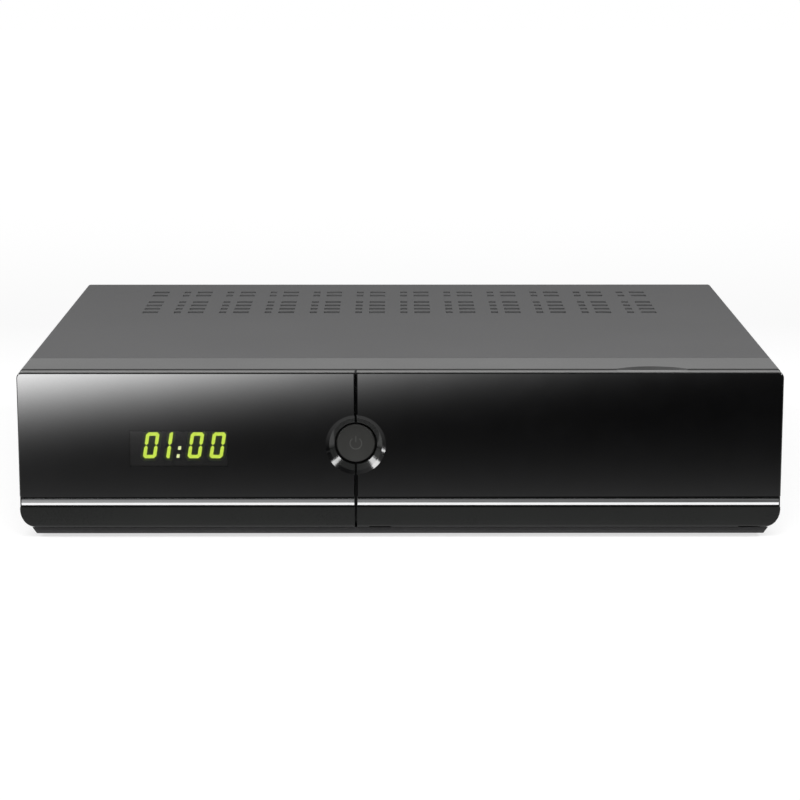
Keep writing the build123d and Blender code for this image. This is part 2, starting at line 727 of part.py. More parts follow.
with BuildPart() as hdmi_socket:
    x, z = rear_openings["hdmi"][:2]
    block((x - 7.5, x + 7.5), (rear_y - 12, rear_y + 0.6), (board_top, z + 2.9))
    with BuildSketch(facing(rear_y + 0.6, x, z)) as mouth:
        with BuildLine():
            Polyline((-7, 2.2), (7, 2.2), (7, -0.8), (5.4, -2.2), (-5.4, -2.2), (-7, -0.8), close=True)
        make_face()
        Rectangle(11.0, 1.0, mode=Mode.SUBTRACT)
    extrude(mouth.sketch, amount=9.0, mode=Mode.SUBTRACT)
finish(hdmi_socket.part, "hdmi_socket")

with BuildPart() as network_socket:
    x, z = rear_openings["network"][:2]
    socket_body("network", (rear_y - 20, rear_y + 0.6))
    with BuildSketch(facing(rear_y + 0.6)) as mouth:
        with Locations((x, z)):
            Rectangle(11.8, 7.0)
        with Locations((x, z - 4.2)):
            Rectangle(6.2, 3.0)
    extrude(mouth.sketch, amount=13.0, mode=Mode.SUBTRACT)
finish(network_socket.part, "network_socket")

with BuildPart() as serial_port:
    x, z, w, h = rear_openings["serial"]
    block((x - w / 2 - 0.2, x + w / 2 + 0.2), (rear_y - 10, socket_y), (board_top, z + h / 2 + 1))
    with BuildSketch(facing(rear_y + 5.5, x, z)) as shell:
        with BuildLine():
            Polyline((-8.4, 4.0), (8.4, 4.0), (6.8, -4.0), (-6.8, -4.0), close=True)
        make_face()
        chamfer(shell.vertices(), 1.0)
        for row_z, count in ((1.4, 5), (-1.4, 4)):
            with Locations((0, row_z)):
                with GridLocations(2.76, 1.0, count, 1):
                    Rectangle(0.9, 0.9, mode=Mode.SUBTRACT)
    extrude(shell.sketch, amount=rear_y + 5.5 - socket_y)
finish(serial_port.part, "serial_port")

with BuildPart() as serial_posts:
    x, z = rear_openings["serial"][:2]
    with BuildSketch(facing(rear_y + 5.0)) as nuts:
        with Locations((x - 12.5, z), (x + 12.5, z)):
            RegularPolygon(2.7, 6)
            RegularPolygon(1.4, few_sides, mode=Mode.SUBTRACT)
    extrude(nuts.sketch, amount=5.0)
finish(serial_posts.part, "serial_posts")

# Mains rocker in its housing
rocker_x, rocker_z, rocker_w, rocker_h = rear_openings["rocker"]
pivot_y = rear_y - 3.0
rocker_tilt = 12.0
rocker_rim = 1.2  # flange on the rear panel
stub_radius = 1.2
with BuildPart() as rocker_housing:
    for reach, margin in (((rear_y - 15, rear_y), -play), ((rear_y, rear_y + rocker_rim), 1.5)):
        x = (rocker_x - rocker_w / 2 - margin, rocker_x + rocker_w / 2 + margin)
        block(x, reach, (rocker_z - rocker_h / 2 - margin, rocker_z + rocker_h / 2 + margin))
    well = (rear_y - 9, rear_y + rocker_rim)
    block((rocker_x - 4.8, rocker_x + 4.8), well, (rocker_z - 8, rocker_z + 8), Mode.SUBTRACT)
    with BuildSketch(Plane.YZ.offset(rocker_x - 6.1)) as pivot_hole:
        with Locations((pivot_y, rocker_z)):
            RegularPolygon(stub_radius + 0.05, few_sides, major_radius=False)
    extrude(pivot_hole.sketch, amount=12.2, mode=Mode.SUBTRACT)
    for x in (rocker_x - 3.4, rocker_x + 3.4):
        stand((x, rear_y - 18.5), (0.8, 7.0), (rocker_z - 3, rocker_z + 3))
finish(rocker_housing.part, "rocker_housing")

tilted = Plane(origin=(pivot_y, rocker_z, 0), x_dir=Vector(1, 0, 0).rotate(Axis.Z, rocker_tilt))
with BuildPart() as mains_rocker:
    with BuildSketch(Plane.YZ.offset(rocker_x - 4.5)) as paddle:
        with BuildLine(tilted):
            ThreePointArc((4.4, -7.0), (3.7, 0.0), (4.4, 7.0))
            Polyline((4.4, 7.0), (0.8, 7.0), (-2.4, 2.4))
            ThreePointArc((-2.4, 2.4), (-3.4, 0.0), (-2.4, -2.4))
            Polyline((-2.4, -2.4), (0.8, -7.0), (4.4, -7.0))
        make_face()
    extrude(paddle.sketch, amount=9.0)
    with BuildSketch(Plane.YZ.offset(rocker_x - 6.0)) as stubs:
        with Locations((pivot_y, rocker_z)):
            RegularPolygon(stub_radius, few_sides)
    extrude(stubs.sketch, amount=12.0)
finish(mains_rocker.part, "mains_rocker")

# Front board with the display block, the remote control receiver and the switches
front_board_x = (-138.0, 34.0)
switch_places = [(split_x, button_z)] + [(x, key_z) for x in key_xs]
with BuildPart() as front_board:
    block(front_board_x, (front_board_y, front_board_y + board_thick), (13.0, 62.5))
finish(front_board.part, "front_board")

with BuildPart() as display_module:
    display_wide = (display_x - 25, display_x + 25)
    block(display_wide, (panel_back + wall + 0.1, front_board_y), (display_z - 9.6, display_z + 9.6))
finish(display_module.part, "display_module")

with BuildPart() as ir_receiver:
    receiver_wide = (receiver_x - 2.8, receiver_x + 2.8)
    block(receiver_wide, (front_y + 11, front_board_y), (display_z - 3.5, display_z + 3.5))
    rod(receiver_x, display_z, (front_y + 9.6, front_y + 11), 2.4, sides=some_sides)
finish(ir_receiver.part, "ir_receiver")

with BuildPart() as tact_switches:
    with BuildSketch(facing(front_board_y)) as bodies:
        with Locations(*switch_places):
            Rectangle(6.2, 6.2)
    extrude(bodies.sketch, amount=1.1)
    with BuildSketch(facing(front_board_y)) as plungers:
        with Locations(*switch_places):
            RegularPolygon(1.7, few_sides)
    extrude(plungers.sketch, amount=front_board_y - switch_y)
finish(tact_switches.part, "tact_switches")

# Leads between the boards
with BuildPart() as ribbon_cable:
    back = front_board_y + board_thick
    with BuildSketch(Plane.YZ.offset(-22.0)) as fold:
        with BuildLine():
            Polyline(
                (back, 28.5),
                (back, 24.5),
                (back + 6, 22.5),
                (main_y[0] - 6, board_top + 6),
                (main_y[0] + 3, board_top + 6),
                (main_y[0] + 3, board_top),
                (main_y[0] + 7, board_top),
                (main_y[0] + 7, board_top + 7),
                (main_y[0] - 6, board_top + 7),
                (back + 6, 23.7),
                (back + 4, 28.5),
                close=True,
            )
        make_face()
    extrude(fold.sketch, amount=24.0)
finish(ribbon_cable.part, "ribbon_cable")

harness_y = (-31.0, -19.0)
harness_x = (psu_x[1] - 5, main_x[0] + 5)
with BuildPart() as psu_harness:
    for x in harness_x:
        block((x - 3, x + 3), harness_y, (board_top, board_top + 6))
    with BuildSketch(Plane.XZ.offset(-harness_y[1] + 1)) as leads:
        with BuildLine():
            Polyline(
                (harness_x[0] - 0.8, board_top + 6),
                (harness_x[0] - 0.8, board_top + 11),
                (harness_x[0] + 3.0, board_top + 14.8),
                (harness_x[1] - 3.0, board_top + 14.8),
                (harness_x[1] + 0.8, board_top + 11),
                (harness_x[1] + 0.8, board_top + 6),
            )
            offset(amount=1.6, side=Side.RIGHT)
        make_face()
    extrude(leads.sketch, amount=harness_y[1] - harness_y[0] - 2)
finish(psu_harness.part, "psu_harness")

# Card reader on four posts, with a slot for the card
reader_front = subpanel_y + wall
reader_back = front_y + 66.0
reader_low = card_z - 3.4
with BuildPart() as card_reader:
    block((card_x - 30, card_x + 30), (reader_front, reader_back), (reader_low, card_z + 2.6))
    slot_x = (card_x - 27.4, card_x + 27.4)
    block(slot_x, (reader_front, reader_back - 6), (card_z - 0.6, card_z + 0.6), Mode.SUBTRACT)
    for x in (card_x - 26.0, card_x + 26.0):
        for y in (reader_front + 10, reader_back - 8):
            stand((x, y), (4.0, 4.0), (floor_top, reader_low))
finish(card_reader.part, "card_reader")

# USB socket on a small board: a shell, its mouth and the tongue in it
usb_front = subpanel_y + 0.3
with BuildPart() as front_usb_socket:
    block((usb_x - 6.6, usb_x + 6.6), (usb_front, usb_front + 19), (usb_z - 2.9, usb_z + 2.9))
    mouth_y = (usb_front, usb_front + 12)
    block((usb_x - 6.0, usb_x + 6.0), mouth_y, (usb_z - 2.3, usb_z + 2.3), Mode.SUBTRACT)
    block((usb_x - 5.6, usb_x + 5.6), (usb_front + 1, usb_front + 12), (usb_z + 0.2, usb_z + 2.0))
    block((usb_x - 10, usb_x + 10), (reader_front, reader_front + 22), (usb_z - 4.5, usb_z - 2.9))
finish(front_usb_socket.part, "front_usb_socket")
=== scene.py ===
import json
import math

import bmesh
import bpy
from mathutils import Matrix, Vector


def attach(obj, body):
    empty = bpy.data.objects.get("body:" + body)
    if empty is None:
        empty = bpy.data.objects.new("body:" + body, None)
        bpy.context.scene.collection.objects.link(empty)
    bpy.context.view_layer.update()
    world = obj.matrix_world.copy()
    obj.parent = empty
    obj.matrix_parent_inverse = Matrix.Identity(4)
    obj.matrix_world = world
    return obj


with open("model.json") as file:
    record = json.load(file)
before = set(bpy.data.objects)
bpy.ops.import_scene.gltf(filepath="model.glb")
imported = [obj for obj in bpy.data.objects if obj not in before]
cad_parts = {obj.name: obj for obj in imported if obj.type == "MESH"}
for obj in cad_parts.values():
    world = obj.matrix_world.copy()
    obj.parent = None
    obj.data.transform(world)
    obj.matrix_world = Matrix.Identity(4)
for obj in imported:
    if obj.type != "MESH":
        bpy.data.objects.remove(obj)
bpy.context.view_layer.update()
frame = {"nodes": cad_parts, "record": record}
nodes = frame["nodes"]
mm = 0.001  # the frame is in metres
print("frame loaded,", len(nodes), "nodes")


# small helpers for shader trees

def addNode(tree, kind, **settings):
    node = tree.nodes.new(kind)
    for key, value in settings.items():
        setattr(node, key, value)
    return node


def feed(tree, node, **values):
    # sets sockets by name, or links them when the value is another socket
    for key, value in values.items():
        socket = node.inputs[key.replace("_", " ")]
        if isinstance(value, bpy.types.NodeSocket):
            tree.links.new(value, socket)
        else:
            socket.default_value = value
    return node


def calculate(tree, operation, first, second=0.0, third=0.0):
    node = addNode(tree, "ShaderNodeMath", operation=operation)
    for socket, value in zip(node.inputs, (first, second, third)):
        if isinstance(value, bpy.types.NodeSocket):
            tree.links.new(value, socket)
        else:
            socket.default_value = value
    return node.outputs[0]


def mapRange(tree, value, low, high, outLow, outHigh, smooth=False):
    node = addNode(tree, "ShaderNodeMapRange")
    node.interpolation_type = "SMOOTHSTEP" if smooth else "LINEAR"
    feed(tree, node, Value=value)
    for socket, number in zip(node.inputs[1:5], (low, high, outLow, outHigh)):
        socket.default_value = number
    return node.outputs[0]


def noise(tree, coordinates, size, detail=2.0, stretch=(1, 1, 1)):
    # size is the length of one cloud or grain in metres
    mapping = addNode(tree, "ShaderNodeMapping")
    feed(tree, mapping, Vector=coordinates, Scale=stretch)
    texture = addNode(tree, "ShaderNodeTexNoise")
    feed(tree, texture, Vector=mapping.outputs[0], Scale=1 / size, Detail=detail)
    return texture.outputs["Fac"]


def mixColour(tree, factor, first, second):
    node = addNode(tree, "ShaderNodeMix", data_type="RGBA")
    for socket, value in ((node.inputs[0], factor), (node.inputs[6], first), (node.inputs[7], second)):
        if isinstance(value, bpy.types.NodeSocket):
            tree.links.new(value, socket)
        elif socket.type == "RGBA":
            socket.default_value = (*value[:3], 1)
        else:
            socket.default_value = value
    return node.outputs[2]


def offsets(tree, *centre):
    # distances in x, y and z from a point given in mm
    axes = addNode(tree, "ShaderNodeSeparateXYZ")
    feed(tree, axes, Vector=addNode(tree, "ShaderNodeTexCoord").outputs["Object"])
    return [calculate(tree, "SUBTRACT", axes.outputs[n], centre[n] * mm) for n in range(3)]


def within(tree, distance, edge, blur=0.15):
    # 1 where a distance is inside the edge in mm, on both sides of its centre, and 0 outside
    size = calculate(tree, "ABSOLUTE", distance)
    return mapRange(tree, size, (edge - blur / 2) * mm, (edge + blur / 2) * mm, 1, 0)


def roundAbout(tree, first, second):
    squares = [calculate(tree, "MULTIPLY", side, side) for side in (first, second)]
    return calculate(tree, "SQRT", calculate(tree, "ADD", *squares))


def every(tree, *masks):
    total = masks[0]
    for mask in masks[1:]:
        total = calculate(tree, "MULTIPLY", total, mask)
    return total


def blendInput(tree, shader, name, mask, value):
    # lets a mask put another value in place of what an input has now
    socket = shader.inputs[name]
    if socket.type == "RGBA":
        present = socket.links[0].from_socket if socket.links else tuple(socket.default_value)
        tree.links.new(mixColour(tree, mask, present, value), socket)
        return
    present = socket.links[0].from_socket if socket.links else socket.default_value
    change = calculate(tree, "SUBTRACT", value, present)
    tree.links.new(calculate(tree, "MULTIPLY_ADD", change, mask, present), socket)


grainRules = {"detail": 3.0, "from": 0.35, "to": 0.65, "share": 0.5, "strength": 0.5, "ior": 1.5}


def finishMaterial(name, look):
    # one shader with cloudy colour, uneven gloss and a fine grain, all from the look's numbers
    rules = grainRules
    material = bpy.data.materials.new(name)
    material.use_nodes = True
    tree = material.node_tree
    shader = tree.nodes["Principled BSDF"]
    place = addNode(tree, "ShaderNodeTexCoord").outputs["Object"]
    stretch = look.get("stretch", (1, 1, 1))
    clouds = noise(tree, place, look["cloudSize"], rules["detail"])
    grain = noise(tree, place, look["grainSize"], rules["detail"], stretch)
    dark = [channel * (1 - look["colourShift"]) for channel in look["colour"]]
    light = [channel * (1 + look["colourShift"]) for channel in look["colour"]]
    halves = [calculate(tree, "MULTIPLY", part, rules["share"]) for part in (clouds, grain)]
    blend = calculate(tree, "ADD", *halves)
    spread = mapRange(tree, blend, rules["from"], rules["to"], 0, 1)
    colour = mixColour(tree, spread, dark, light)
    smoothest, roughest = look["roughness"] - look["roughShift"], look["roughness"] + look["roughShift"]
    roughness = mapRange(tree, blend, rules["from"], rules["to"], smoothest, roughest)
    bump = addNode(tree, "ShaderNodeBump")
    feed(tree, bump, Strength=rules["strength"], Distance=look["grainDepth"], Height=grain)
    feed(tree, shader, Base_Color=colour, Roughness=roughness, Normal=bump.outputs[0])
    feed(tree, shader, Metallic=look.get("metallic", 0.0), IOR=rules["ior"])
    if "specular" in look:
        shader.inputs["Specular IOR Level"].default_value = look["specular"]
    material.diffuse_color = (*look["colour"], 1)
    return material


def dress(material, *names):
    for name in names:
        node = nodes[name]
        node.data.materials.clear()
        node.data.materials.append(material)


finishes = {
    "coatedSteel": {
        "colour": (0.078, 0.078, 0.079), "colourShift": 0.14, "cloudSize": 60 * mm,
        "grainSize": 0.7 * mm, "grainDepth": 0.05 * mm, "roughness": 0.55, "roughShift": 0.06,
        "specular": 0.15,
    },
    "mouldedBlack": {
        "colour": (0.009, 0.0095, 0.009), "colourShift": 0.2, "cloudSize": 40 * mm,
        "grainSize": 0.35 * mm, "grainDepth": 0.02 * mm, "roughness": 0.3, "roughShift": 0.05,
        "specular": 0.18,
    },
    "shelfSatin": {
        "colour": (0.06, 0.06, 0.06), "colourShift": 0.15, "cloudSize": 50 * mm,
        "grainSize": 0.4 * mm, "grainDepth": 0.02 * mm, "roughness": 0.34, "roughShift": 0.05,
        "specular": 0.4,
    },
    "glossBlack": {
        "colour": (0.0012, 0.0012, 0.0013), "colourShift": 0.3, "cloudSize": 30 * mm,
        "grainSize": 9 * mm, "grainDepth": 0.004 * mm, "roughness": 0.035, "roughShift": 0.015,
    },
    "buttonFace": {
        "colour": (0.036, 0.036, 0.034), "colourShift": 0.1, "cloudSize": 8 * mm,
        "grainSize": 0.3 * mm, "grainDepth": 0.01 * mm, "roughness": 0.34, "roughShift": 0.05,
    },
    "brightTrim": {
        "colour": (0.80, 0.805, 0.81), "colourShift": 0.03, "cloudSize": 20 * mm,
        "grainSize": 0.4 * mm, "grainDepth": 0.002 * mm, "roughness": 0.12, "roughShift": 0.03,
        "metallic": 1.0, "stretch": (0.02, 1, 1),
    },
    "platedSteel": {
        "colour": (0.62, 0.61, 0.58), "colourShift": 0.06, "cloudSize": 12 * mm,
        "grainSize": 0.4 * mm, "grainDepth": 0.01 * mm, "roughness": 0.3, "roughShift": 0.08,
        "metallic": 1.0,
    },
    "platedBrass": {
        "colour": (0.74, 0.60, 0.30), "colourShift": 0.06, "cloudSize": 8 * mm,
        "grainSize": 0.3 * mm, "grainDepth": 0.01 * mm, "roughness": 0.26, "roughShift": 0.07,
        "metallic": 1.0,
    },
    "footRubber": {
        "colour": (0.02, 0.02, 0.02), "colourShift": 0.2, "cloudSize": 10 * mm,
        "grainSize": 0.5 * mm, "grainDepth": 0.05 * mm, "roughness": 0.8, "roughShift": 0.08,
    },
    "boardGreen": {
        "colour": (0.02, 0.10, 0.035), "colourShift": 0.25, "cloudSize": 20 * mm,
        "grainSize": 1.2 * mm, "grainDepth": 0.03 * mm, "roughness": 0.38, "roughShift": 0.08,
    },
    "boardTan": {
        "colour": (0.30, 0.19, 0.08), "colourShift": 0.2, "cloudSize": 20 * mm,
        "grainSize": 1.0 * mm, "grainDepth": 0.03 * mm, "roughness": 0.5, "roughShift": 0.08,
    },
    "heatsinkAlloy": {
        "colour": (0.5, 0.51, 0.52), "colourShift": 0.08, "cloudSize": 12 * mm,
        "grainSize": 0.5 * mm, "grainDepth": 0.02 * mm, "roughness": 0.38, "roughShift": 0.08,
        "metallic": 1.0, "stretch": (1, 1, 0.05),
    },
    "darkPackage": {
        "colour": (0.022, 0.022, 0.024), "colourShift": 0.2, "cloudSize": 8 * mm,
        "grainSize": 0.2 * mm, "grainDepth": 0.02 * mm, "roughness": 0.6, "roughShift": 0.08,
    },
    "canSleeve": {
        "colour": (0.02, 0.03, 0.09), "colourShift": 0.2, "cloudSize": 8 * mm,
        "grainSize": 1.0 * mm, "grainDepth": 0.01 * mm, "roughness": 0.32, "roughShift": 0.06,
    },
    "coreFerrite": {
        "colour": (0.05, 0.047, 0.045), "colourShift": 0.2, "cloudSize": 8 * mm,
        "grainSize": 0.4 * mm, "grainDepth": 0.04 * mm, "roughness": 0.6, "roughShift": 0.1,
    },
    "leadInsulation": {
        "colour": (0.35, 0.34, 0.32), "colourShift": 0.15, "cloudSize": 8 * mm,
        "grainSize": 1.0 * mm, "grainDepth": 0.02 * mm, "roughness": 0.5, "roughShift": 0.08,
    },
}
materials = {name: finishMaterial(name, look) for name, look in finishes.items()}
slotFinishes = {
    "coated_steel": "coatedSteel", "moulded_black": "mouldedBlack", "gloss_black": "glossBlack",
    "button_face": "buttonFace", "bright_trim": "brightTrim", "plated_steel": "platedSteel",
    "plated_brass": "platedBrass", "foot_rubber": "footRubber", "board_green": "boardGreen",
    "board_tan": "boardTan", "heatsink_alloy": "heatsinkAlloy", "dark_package": "darkPackage",
    "can_sleeve": "canSleeve", "core_ferrite": "coreFerrite", "lead_insulation": "leadInsulation",
}
for part in frame["record"]["subparts"]:
    dress(materials[slotFinishes[part["material_slot"]]], part["node"])
dress(materials["shelfSatin"], "front_shelf", "front_cheeks")
print("finishes:", len(materials))


def variant(name, look, change, *targets):
    # the same finish once more, with a change that depends on the place
    material = finishMaterial(name, finishes[look])
    tree = material.node_tree
    change(tree, tree.nodes["Principled BSDF"])
    dress(material, *targets)


dishLook = {
    "x": -17.5, "z": 38.0, "radius": 11.95, "front": -116.0,
    "roughness": 0.08, "crown": 1.1, "lacquer": 0.8,
}
paintedRailHighlight = {"from": 65.9, "colour": (0.13, 0.13, 0.128)}


def dishMask(tree):
    x, y, z = offsets(tree, dishLook["x"], dishLook["front"], dishLook["z"])
    ahead = calculate(tree, "LESS_THAN", y, 0.0)
    return every(tree, within(tree, roundAbout(tree, x, z), dishLook["radius"]), ahead)


def crownDish(tree, shader):
    # the wall of the dish is a little crowned, so it mirrors what is below it
    mask = dishMask(tree)
    slope = addNode(tree, "ShaderNodeVectorMath", operation="SCALE")
    slope.inputs[0].default_value = (0, -dishLook["crown"], 0)
    tree.links.new(mask, slope.inputs["Scale"])
    total = addNode(tree, "ShaderNodeVectorMath", operation="ADD")
    tree.links.new(slope.outputs[0], total.inputs[0])
    tree.links.new(shader.inputs["Normal"].links[0].from_socket, total.inputs[1])
    unit = addNode(tree, "ShaderNodeVectorMath", operation="NORMALIZE")
    tree.links.new(total.outputs[0], unit.inputs[0])
    tree.links.new(unit.outputs[0], shader.inputs["Normal"])
    blendInput(tree, shader, "Roughness", mask, dishLook["roughness"])
    return mask


def finishCarrier(tree, shader):
    # satin band, lacquered dish and a paler rail along the top, a painted highlight for the light the rail
    # catches
    mask = crownDish(tree, shader)
    blendInput(tree, shader, "Coat Weight", mask, dishLook["lacquer"])
    shader.inputs["Coat Roughness"].default_value = dishLook["roughness"]
    # painted highlight: above this height the base colour is paler, standing in for the light that falls
    # along the top rail
    _, _, height = offsets(tree, 0, 0, paintedRailHighlight["from"])
    above = calculate(tree, "GREATER_THAN", height, 0.0)
    blendInput(tree, shader, "Base Color", above, paintedRailHighlight["colour"])


windowLook = {
    "x": -87.0, "z": 36.5, "halfWidth": 19.0, "halfHeight": 6.9,
    "rim": 0.5, "blur": 0.4, "smoke": (0.16, 0.16, 0.16),
}


def smokeWindow(tree, shader):
    # clear smoked glass before the display, black everywhere else
    crownDish(tree, shader)
    x, _, z = offsets(tree, windowLook["x"], 0, windowLook["z"])
    look = windowLook
    sizes = (look["halfWidth"], look["halfHeight"])
    field = every(tree, *[within(tree, side, size, look["blur"]) for side, size in zip((x, z), sizes)])
    clear = every(tree, *[within(tree, side, size + look["rim"]) for side, size in zip((x, z), sizes)])
    blendInput(tree, shader, "Base Color", field, look["smoke"])
    blendInput(tree, shader, "Transmission Weight", clear, 1.0)


# the dark colour here is painted shade for the cross recesses in the screw heads
screwLook = {
    "places": (-55.0, 70.0), "z": 8.5, "arm": 0.38, "reach": 1.8,
    "dark": (0.03, 0.03, 0.03), "roughness": 0.7,
}


def paintedRecessShade(tree, shader):
    # painted shade: a dark cross in each screw head stands in for the shade in its cross recess, measured
    # from the nearer of the two places
    look = screwLook
    _, y, z = offsets(tree, 0, 0, look["z"])
    steps = [calculate(tree, "SUBTRACT", y, place * mm) for place in look["places"]]
    along = calculate(tree, "MINIMUM", *[calculate(tree, "ABSOLUTE", step) for step in steps])
    arms = calculate(tree, "MAXIMUM", within(tree, along, look["arm"]), within(tree, z, look["arm"]))
    mask = every(tree, arms, within(tree, roundAbout(tree, along, z), look["reach"]))
    blendInput(tree, shader, "Base Color", mask, look["dark"])
    blendInput(tree, shader, "Roughness", mask, look["roughness"])


threadLook = {
    "x": 133.0, "z": (21.5, 41.5), "face": 120.0, "insulator": 2.9, "insulatorColour": (0.7, 0.69, 0.66),
    "from": 113.4, "pitch": 0.8, "ridges": 7, "inside": 4.5, "root": 4.7, "crest": 5.0,
}


def insulateAerials(tree, shader):
    # a pale insulator in the mouth of each barrel
    look = threadLook
    x, y, low = offsets(tree, look["x"], 0, look["z"][0])
    apart = (look["z"][1] - look["z"][0]) * mm
    high = calculate(tree, "SUBTRACT", low, apart)
    nearer = calculate(tree, "GREATER_THAN", low, apart / 2)
    z = calculate(tree, "MULTIPLY_ADD", calculate(tree, "SUBTRACT", high, low), nearer, low)
    face = calculate(tree, "GREATER_THAN", y, look["face"] * mm)
    mask = every(tree, within(tree, roundAbout(tree, x, z), look["insulator"]), face)
    blendInput(tree, shader, "Base Color", mask, look["insulatorColour"])
    blendInput(tree, shader, "Metallic", mask, 0.0)


serialLook = {
    "x": 108.5, "z": 18.1, "halfWidth": 6.9, "halfHeight": 3.1, "slant": -0.2,
    "face": 115.5, "colour": (0.02, 0.02, 0.022),
}


def serialInsert(tree, shader):
    # moulded insert inside the metal shell
    look = serialLook
    x, y, z = offsets(tree, look["x"], 0, look["z"])
    slant = calculate(tree, "MULTIPLY_ADD", z, look["slant"], calculate(tree, "ABSOLUTE", x))
    face = calculate(tree, "GREATER_THAN", y, look["face"] * mm)
    mask = every(tree, within(tree, slant, look["halfWidth"]), within(tree, z, look["halfHeight"]), face)
    blendInput(tree, shader, "Base Color", mask, look["colour"])
    blendInput(tree, shader, "Metallic", mask, 0.0)


boardLook = {
    "trackWidth": 9 * mm, "trackRow": 2.6 * mm, "line": 0.18 * mm, "track": (0.05, 0.22, 0.08),
    "via": 5.2 * mm, "viaSize": 0.45 * mm, "tin": (0.55, 0.54, 0.5),
}


def printBoard(tree, shader):
    # tracks under the lacquer and tinned vias
    place = addNode(tree, "ShaderNodeTexCoord").outputs["Object"]
    tracks = addNode(tree, "ShaderNodeTexBrick", offset=0.37, squash=0.6)
    feed(tree, tracks, Vector=place, Scale=1.0, Mortar_Size=boardLook["line"])
    feed(tree, tracks, Brick_Width=boardLook["trackWidth"], Row_Height=boardLook["trackRow"])
    blendInput(tree, shader, "Base Color", tracks.outputs["Fac"], boardLook["track"])
    vias = addNode(tree, "ShaderNodeTexVoronoi", feature="F1")
    feed(tree, vias, Vector=place, Scale=1 / boardLook["via"], Randomness=0.8)
    reach = boardLook["viaSize"] / boardLook["via"]
    mask = mapRange(tree, vias.outputs["Distance"], reach * 0.9, reach * 1.1, 1, 0)
    blendInput(tree, shader, "Base Color", mask, boardLook["tin"])
    blendInput(tree, shader, "Metallic", mask, 1.0)


variant("carrierBlack", "mouldedBlack", finishCarrier, "bezel_left", "flap_door")
variant("glossPlate", "glossBlack", crownDish, "flap_plate")
variant("smokedGlass", "glossBlack", smokeWindow, "window_left")
variant("screwSteel", "platedSteel", paintedRecessShade, "cover_screws")
variant("threadedNickel", "platedSteel", insulateAerials, "aerial_inputs")
variant("serialShell", "platedSteel", serialInsert, "serial_port")
variant("printedGreen", "boardGreen", printBoard, "main_board", "front_board")
print("finishes that change over a piece are on")


def pieceFrom(name, body, material, fill):
    # a piece of its own from mesh code; fill adds its faces, in mm
    shape = bmesh.new()
    fill(shape)
    bmesh.ops.remove_doubles(shape, verts=shape.verts, dist=0.0005)
    bmesh.ops.recalc_face_normals(shape, faces=shape.faces)
    bmesh.ops.scale(shape, vec=(mm, mm, mm), verts=shape.verts)
    mesh = bpy.data.meshes.new(name)
    shape.to_mesh(mesh)
    shape.free()
    mesh.materials.append(material)
    piece = bpy.data.objects.new(name, mesh)
    bpy.context.scene.collection.objects.link(piece)
    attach(piece, body)
    return piece


def addPrism(shape, outline, low, high, along="Y"):
    # a flat outline drawn out along Y, or along X
    loops = []
    for depth in (low, high):
        points = [(a, depth, b) if along == "Y" else (depth, a, b) for a, b in outline]
        loops.append([shape.verts.new(point) for point in points])
    shape.faces.new(loops[0])
    shape.faces.new(list(reversed(loops[1])))
    for n in range(len(outline)):
        m = (n + 1) % len(outline)
        shape.faces.new((loops[0][n], loops[1][n], loops[1][m], loops[0][m]))


def addTurned(shape, x, z, profile, sides=40, closed=True):
    # a profile of (radius, y) turned about a line along Y
    loops = []
    for n in range(sides):
        angle = 2 * math.pi * n / sides
        across, up = math.cos(angle), math.sin(angle)
        loops.append([shape.verts.new((x + r * across, y, z + r * up)) for r, y in profile])
    steps = len(profile) if closed else len(profile) - 1
    for n in range(sides):
        here, there = loops[n], loops[(n + 1) % sides]
        for m in range(steps):
            k = (m + 1) % len(profile)
            shape.faces.new((here[m], here[k], there[k], there[m]))


corners = ((-1, -1), (1, -1), (1, 1), (-1, 1))


def rectangle(x, z, width, height, lean=0.0):
    return [(x + sx * width / 2 + sz * lean, z + sz * height / 2) for sx, sz in corners]


# luminous figures on the display block, seen through the smoked glass
displayLook = {
    "face": -118.4, "bottom": 32.5, "height": 10.4, "width": 5.25, "slant": 9.2,
    "stroke": 1.35, "corner": 0.9, "innerCorner": 0.25, "gap": 0.06,
    "zeros": (-101.35, -83.8, -75.2), "one": -92.15,
    "dots": ((-87.35, 33.4), (-86.75, 36.6)), "dotSize": (1.15, 1.4),
    "colour": (0.58, 0.78, 0.07), "strength": 6.2, "dotColour": (0.80, 0.88, 0.42),
    "halos": ((0.45, 0.08), (1.05, 0.04)), "haloColour": (0.55, 0.85, 0.06),
    "haloFront": 0.06, "haloStep": 0.02, "haloBack": 0.01, "figureFront": 0.1, "figureBack": 0.07,
}


def archOutline(grow, gap):
    # the upper half of a nought, from its waist up and round
    look = displayLook
    s, w, h = (look[side] + 2 * grow for side in ("stroke", "width", "height"))
    c, i, waist = look["corner"] + grow * 0.6, look["innerCorner"], h / 2 + gap
    left = [(s / 2, waist), (0, waist + s / 2), (0, h - c), (c, h)]
    inner = [(s + i, h - s), (s, h - s - i), (s, waist + s / 2)]
    mirrored = [(w - u, v) for u, v in reversed(inner)]
    return left + [(w - u, v) for u, v in reversed(left)] + mirrored + inner


def barOutline(grow, gap):
    look = displayLook
    s, h = look["stroke"] + 2 * grow, look["height"] + 2 * grow
    waist = h / 2 + gap
    return [(s / 2, waist), (0, waist + s / 2), (0, h - s * 0.4), (s * 0.4, h), (s, h), (s, waist + s / 2)]


def filledOutline(grow, gap):
    # the whole upper half without its opening, for the soft glow round a figure
    outline = archOutline(grow, gap)[1:7]
    return [(outline[0][0], outline[0][1] * 0.5)] + outline + [(outline[-1][0], outline[0][1] * 0.5)]


def addFigure(shape, outline, x, grow, front, back):
    # both halves of a figure, leaning over to the right
    look = displayLook
    lean = math.tan(math.radians(look["slant"]))
    high = look["height"] + 2 * grow
    for half in (outline, [(u, high - v) for u, v in outline]):
        points = [(x - grow + u + lean * (v - grow), look["bottom"] - grow + v) for u, v in half]
        addPrism(shape, points, front, back)


